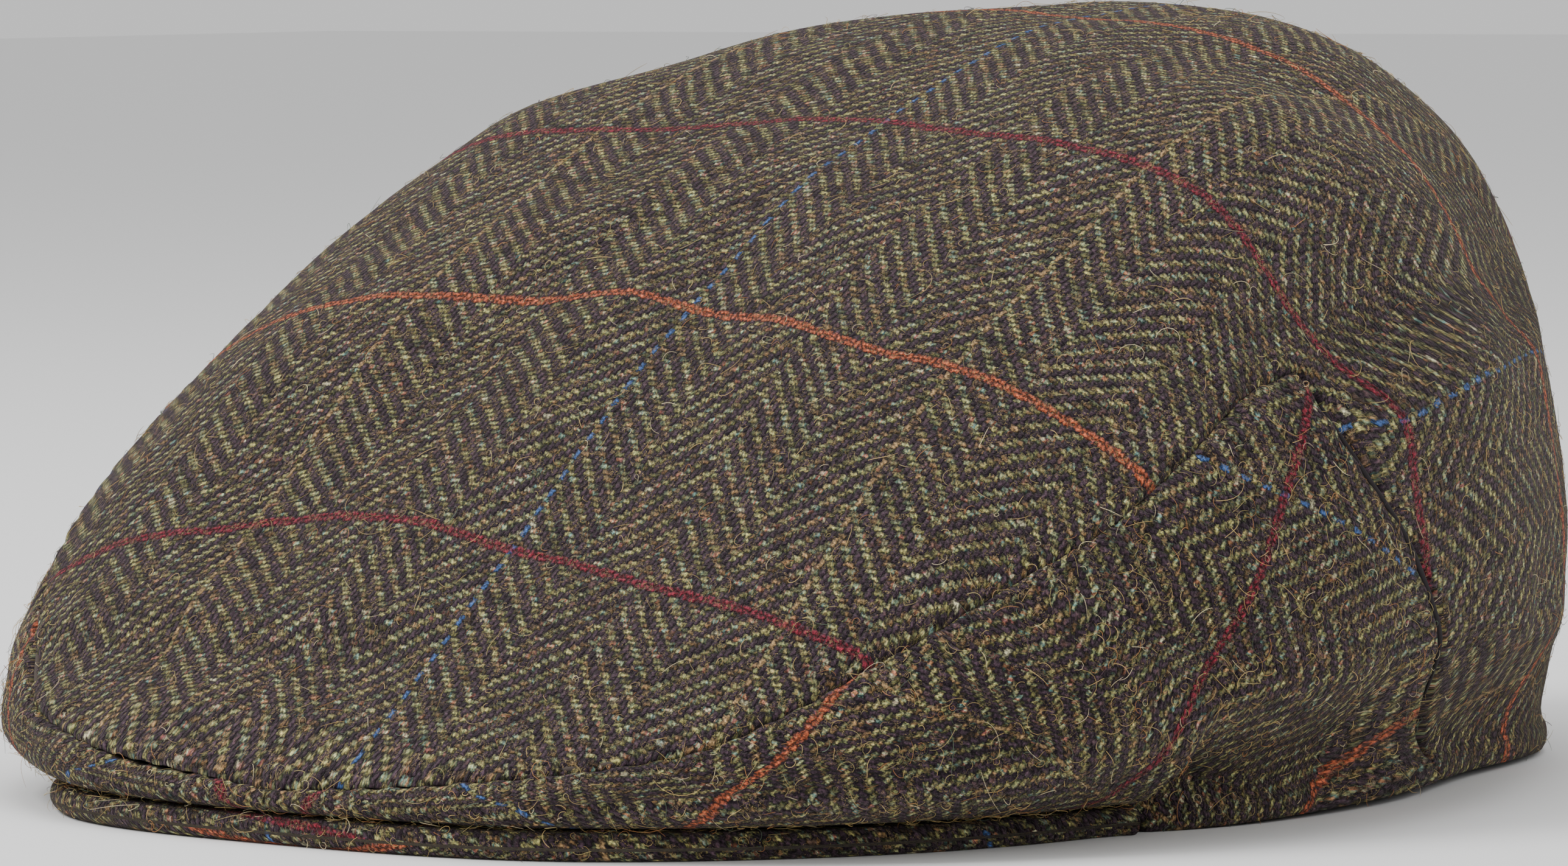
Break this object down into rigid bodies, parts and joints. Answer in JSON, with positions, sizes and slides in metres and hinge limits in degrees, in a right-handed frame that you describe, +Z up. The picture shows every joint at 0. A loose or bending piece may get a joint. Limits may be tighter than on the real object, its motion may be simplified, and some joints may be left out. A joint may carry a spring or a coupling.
{
  "type": "flat cap",
  "caption": "Herringbone tweed flat cap with a one-piece top, two side panels and a stiff covered peak; open rim for a head.",
  "frame": {"origin": "centre of the bounding box in plan, on the surface that the rim and the peak rest on", "axes": "+Z up through the crown, -Y towards the peak, +X towards the wearer's left"},
  "size_m": [0.2258, 0.2544, 0.115],
  "materials": {
    "top_tweed": "dark green and brown herringbone tweed with red, orange, blue and tan window-check lines, slightly hairy",
    "side_tweed": "the same tweed, cut on its own slant",
    "peak_tweed": "the same tweed drawn tight over a stiff board"
  },
  "bodies": {
    "root": {"crown_top": "top_tweed", "side_panel_left": "side_tweed", "side_panel_right": "side_tweed", "peak": "peak_tweed"}
  },
  "joints": []
}
